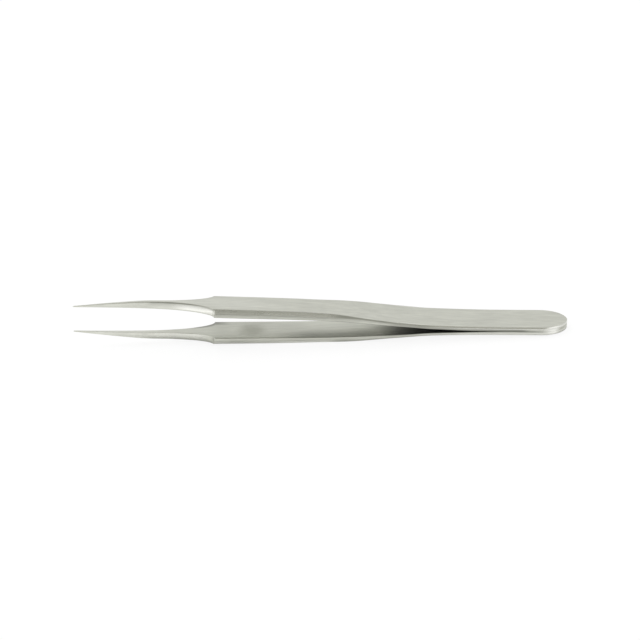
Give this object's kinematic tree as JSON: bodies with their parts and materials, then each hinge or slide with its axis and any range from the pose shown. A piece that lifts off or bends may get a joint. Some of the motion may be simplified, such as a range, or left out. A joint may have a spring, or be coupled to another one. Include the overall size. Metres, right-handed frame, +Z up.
{
  "type": "tweezers",
  "caption": "Stainless steel fine-point tweezers with needle tips, hollow shoulders, bevelled grips and a rounded welded heel, for picking up small delicate parts.",
  "frame": {"origin": "middle of the footprint, on the surface that the tweezers lie on", "axes": "+X from the tips towards the heel, +Y across the arms, +Z up; the tweezers rest on the heel and on the belly of the lower arm, which tilts the line midway between the arms by 3 degrees, tips up"},
  "size_m": [0.11, 0.009, 0.0102],
  "materials": {
    "arm_steel": "satin brushed stainless steel, ground along the arms"
  },
  "bodies": {
    "root": {"upper_arm": "arm_steel", "lower_arm": "arm_steel"}
  },
  "joints": []
}
